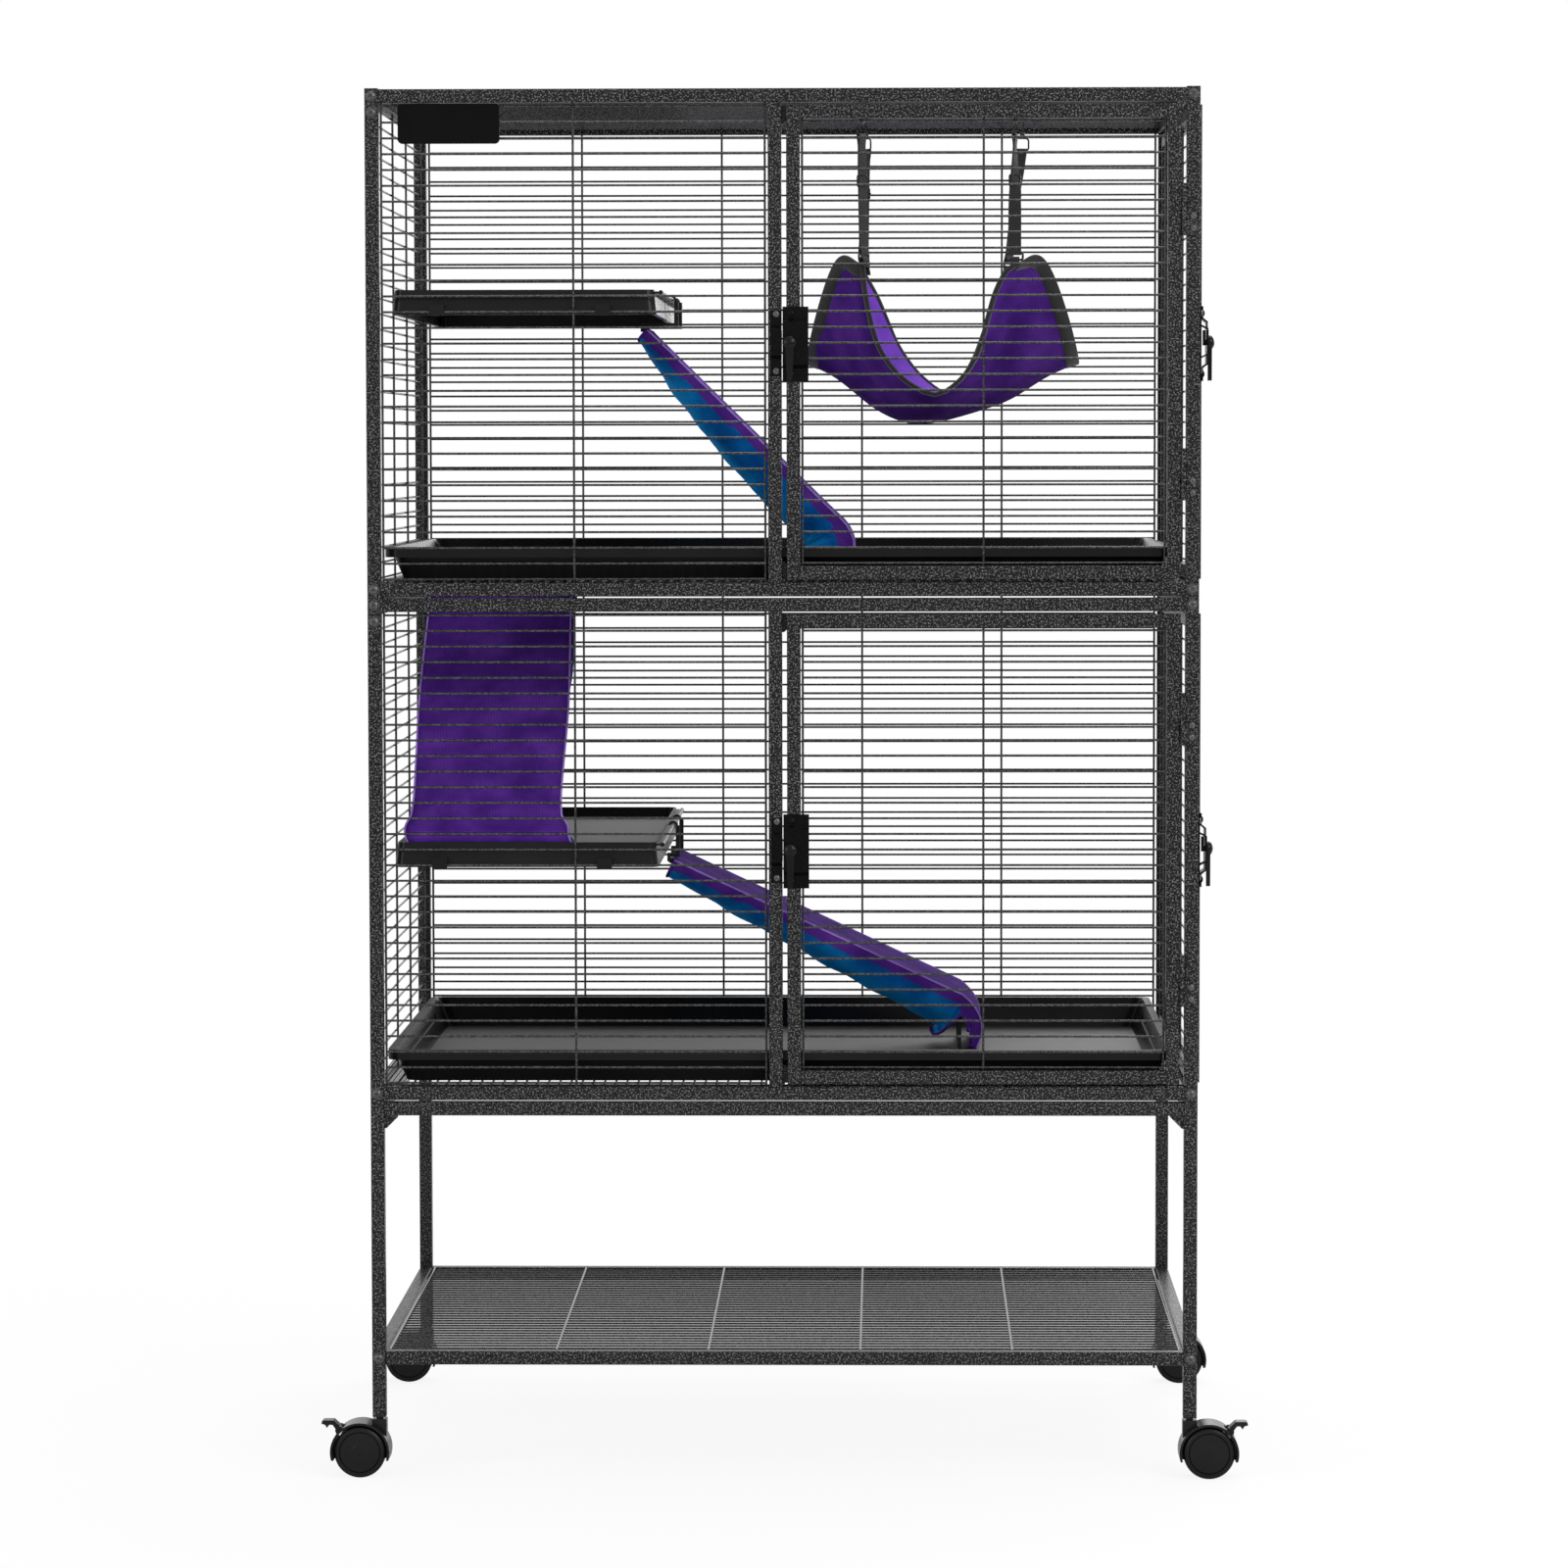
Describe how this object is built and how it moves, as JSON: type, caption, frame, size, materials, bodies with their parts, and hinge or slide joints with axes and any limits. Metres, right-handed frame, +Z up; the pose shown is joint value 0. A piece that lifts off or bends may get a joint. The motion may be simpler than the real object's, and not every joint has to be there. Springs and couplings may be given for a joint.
{
  "type": "ferret cage",
  "caption": "Tall two-tier wire cage on a rolling stand, with front and side doors, trays, half shelves, covered ramps and a hammock.",
  "frame": {"origin": "on the floor under the middle of the cage frame", "axes": "+Z up, +X to the right seen from the front, +Y to the back"},
  "size_m": [1.028, 0.6568, 1.533],
  "materials": {
    "frame_paint": "hammertone powder coat, dark grey",
    "wire_paint": "satin powder coat",
    "black_steel": "satin black",
    "black_gloss": "glossy moulded plastic",
    "handle_plastic": "glossy black",
    "caster_plastic": "semi-gloss black",
    "wheel_plastic": "satin black",
    "ramp_plastic": "matt black board",
    "purple_cloth": "soft woven cloth, purple with blue lining",
    "black_webbing": "black webbing"
  },
  "bodies": {
    "cage": {"stand_legs": "frame_paint", "stand_rails": "frame_paint", "corner_plates": "frame_paint", "tier_posts": "frame_paint", "tier_rails": "frame_paint", "stand_grille": "wire_paint", "front_grilles": "wire_paint", "back_grilles": "wire_paint", "side_grilles": "wire_paint", "lower_floor_grille": "wire_paint", "upper_floor_grille": "wire_paint", "roof_grille": "wire_paint", "keepers": "black_steel", "hinge_leaves": "black_steel", "frame_screws": "black_steel", "lower_tray": "black_gloss", "upper_tray": "black_gloss", "lower_shelf": "black_gloss", "upper_shelf": "black_gloss", "name_plate": "black_gloss", "caster_sockets": "caster_plastic", "middle_ramp_board": "ramp_plastic", "middle_ramp_cover": "purple_cloth"},
    "front_lower_door": {"front_lower_frame": "frame_paint", "front_lower_wires": "wire_paint", "front_lower_hinges": "black_steel", "front_lower_latch": "black_steel"},
    "front_lower_handle_turn": {"front_lower_handle": "handle_plastic"},
    "front_upper_door": {"front_upper_frame": "frame_paint", "front_upper_wires": "wire_paint", "front_upper_hinges": "black_steel", "front_upper_latch": "black_steel"},
    "front_upper_handle_turn": {"front_upper_handle": "handle_plastic"},
    "side_lower_door": {"side_lower_frame": "frame_paint", "side_lower_wires": "wire_paint", "side_lower_hinges": "black_steel", "side_lower_latch": "black_steel"},
    "side_lower_handle_turn": {"side_lower_handle": "handle_plastic"},
    "side_upper_door": {"side_upper_frame": "frame_paint", "side_upper_wires": "wire_paint", "side_upper_hinges": "black_steel", "side_upper_latch": "black_steel"},
    "side_upper_handle_turn": {"side_upper_handle": "handle_plastic"},
    "caster_front_left": {"hood_front_left": "caster_plastic"},
    "roller_front_left": {"wheels_front_left": "wheel_plastic"},
    "caster_front_right": {"hood_front_right": "caster_plastic"},
    "roller_front_right": {"wheels_front_right": "wheel_plastic"},
    "caster_back_left": {"hood_back_left": "caster_plastic"},
    "roller_back_left": {"wheels_back_left": "wheel_plastic"},
    "caster_back_right": {"hood_back_right": "caster_plastic"},
    "roller_back_right": {"wheels_back_right": "wheel_plastic"},
    "pedal_left": {"brake_left": "caster_plastic"},
    "pedal_right": {"brake_right": "caster_plastic"},
    "upper_ramp": {"upper_ramp_board": "ramp_plastic", "upper_ramp_cover": "purple_cloth"},
    "lower_ramp": {"lower_ramp_board": "ramp_plastic", "lower_ramp_cover": "purple_cloth"},
    "hammock": {"hammock_cloth": "purple_cloth"},
    "hammock_front": {"hammock_front_straps": "black_webbing"},
    "hammock_back": {"hammock_back_straps": "black_webbing"}
  },
  "joints": [
    {"name": "front_lower_door_hinge", "type": "hinge", "parent": "cage", "child": "front_lower_door", "pos_m": [0.4394, -0.317, 0.6975], "axis": [0, 0, 1], "range_deg": [0, 170]},
    {"name": "side_lower_door_hinge", "type": "hinge", "parent": "cage", "child": "side_lower_door", "pos_m": [0.462, 0.2974, 0.6975], "axis": [0, 0, 1], "range_deg": [0, 170]},
    {"name": "front_lower_latch", "type": "hinge", "parent": "front_lower_door", "child": "front_lower_handle_turn", "pos_m": [0.0082, -0.315, 0.6975], "axis": [0, -1, 0], "range_deg": [0, 90]},
    {"name": "side_lower_latch", "type": "hinge", "parent": "side_lower_door", "child": "side_lower_handle_turn", "pos_m": [0.46, -0.2911, 0.6975], "axis": [1, 0, 0], "range_deg": [0, 90]},
    {"name": "front_upper_door_hinge", "type": "hinge", "parent": "cage", "child": "front_upper_door", "pos_m": [0.4394, -0.317, 1.2545], "axis": [0, 0, 1], "range_deg": [0, 170]},
    {"name": "side_upper_door_hinge", "type": "hinge", "parent": "cage", "child": "side_upper_door", "pos_m": [0.462, 0.2974, 1.2545], "axis": [0, 0, 1], "range_deg": [0, 170]},
    {"name": "front_upper_latch", "type": "hinge", "parent": "front_upper_door", "child": "front_upper_handle_turn", "pos_m": [0.0082, -0.315, 1.2545], "axis": [0, -1, 0], "range_deg": [0, 90]},
    {"name": "side_upper_latch", "type": "hinge", "parent": "side_upper_door", "child": "side_upper_handle_turn", "pos_m": [0.46, -0.2911, 1.2545], "axis": [1, 0, 0], "range_deg": [0, 90]},
    {"name": "swivel_front_left", "type": "hinge", "parent": "cage", "child": "caster_front_left", "pos_m": [-0.4495, -0.3075, 0.08], "axis": [0, 0, 1], "continuous": true},
    {"name": "spin_front_left", "type": "hinge", "parent": "caster_front_left", "child": "roller_front_left", "pos_m": [-0.4705, -0.3075, 0.0285], "axis": [0, 1, 0], "continuous": true},
    {"name": "swivel_front_right", "type": "hinge", "parent": "cage", "child": "caster_front_right", "pos_m": [0.4495, -0.3075, 0.08], "axis": [0, 0, 1], "continuous": true},
    {"name": "spin_front_right", "type": "hinge", "parent": "caster_front_right", "child": "roller_front_right", "pos_m": [0.4705, -0.3075, 0.0285], "axis": [0, 1, 0], "continuous": true},
    {"name": "swivel_back_left", "type": "hinge", "parent": "cage", "child": "caster_back_left", "pos_m": [-0.4495, 0.3075, 0.08], "axis": [0, 0, 1], "continuous": true},
    {"name": "spin_back_left", "type": "hinge", "parent": "caster_back_left", "child": "roller_back_left", "pos_m": [-0.4705, 0.3075, 0.0285], "axis": [0, 1, 0], "continuous": true},
    {"name": "swivel_back_right", "type": "hinge", "parent": "cage", "child": "caster_back_right", "pos_m": [0.4495, 0.3075, 0.08], "axis": [0, 0, 1], "continuous": true},
    {"name": "spin_back_right", "type": "hinge", "parent": "caster_back_right", "child": "roller_back_right", "pos_m": [0.4705, 0.3075, 0.0285], "axis": [0, 1, 0], "continuous": true},
    {"name": "brake_pedal_left", "type": "hinge", "parent": "caster_front_left", "child": "pedal_left", "pos_m": [-0.49375, -0.3075, 0.05175], "axis": [0, -1, 0], "range_deg": [0, 15]},
    {"name": "brake_pedal_right", "type": "hinge", "parent": "caster_front_right", "child": "pedal_right", "pos_m": [0.49375, -0.3075, 0.05175], "axis": [0, 1, 0], "range_deg": [0, 15]},
    {"name": "upper_ramp_lift", "type": "hinge", "parent": "cage", "child": "upper_ramp", "pos_m": [-0.134, 0.07, 1.31055], "axis": [0, -1, 0], "range_deg": [0, 15]},
    {"name": "lower_ramp_lift", "type": "hinge", "parent": "cage", "child": "lower_ramp", "pos_m": [-0.134, 0.07, 0.7018], "axis": [0, -1, 0], "range_deg": [0, 30]},
    {"name": "hammock_front_swing", "type": "hinge", "parent": "cage", "child": "hammock_front", "pos_m": [0.1734, -0.15525, 1.5245], "axis": [1, 0, 0], "range_deg": [-12, 12]},
    {"name": "hammock_back_swing", "type": "hinge", "parent": "cage", "child": "hammock_back", "pos_m": [0.1734, 0.15525, 1.5245], "axis": [1, 0, 0], "range_deg": [-12, 12]},
    {"name": "hammock_hang", "type": "hinge", "parent": "hammock_front", "child": "hammock", "pos_m": [0.1734, -0.15525, 1.35], "axis": [1, 0, 0], "range_deg": [-12, 12]}
  ],
  "couplings": [
    {"joint": "hammock_back_swing", "follows": "hammock_front_swing", "ratio": 1},
    {"joint": "hammock_hang", "follows": "hammock_front_swing", "ratio": -1}
  ]
}
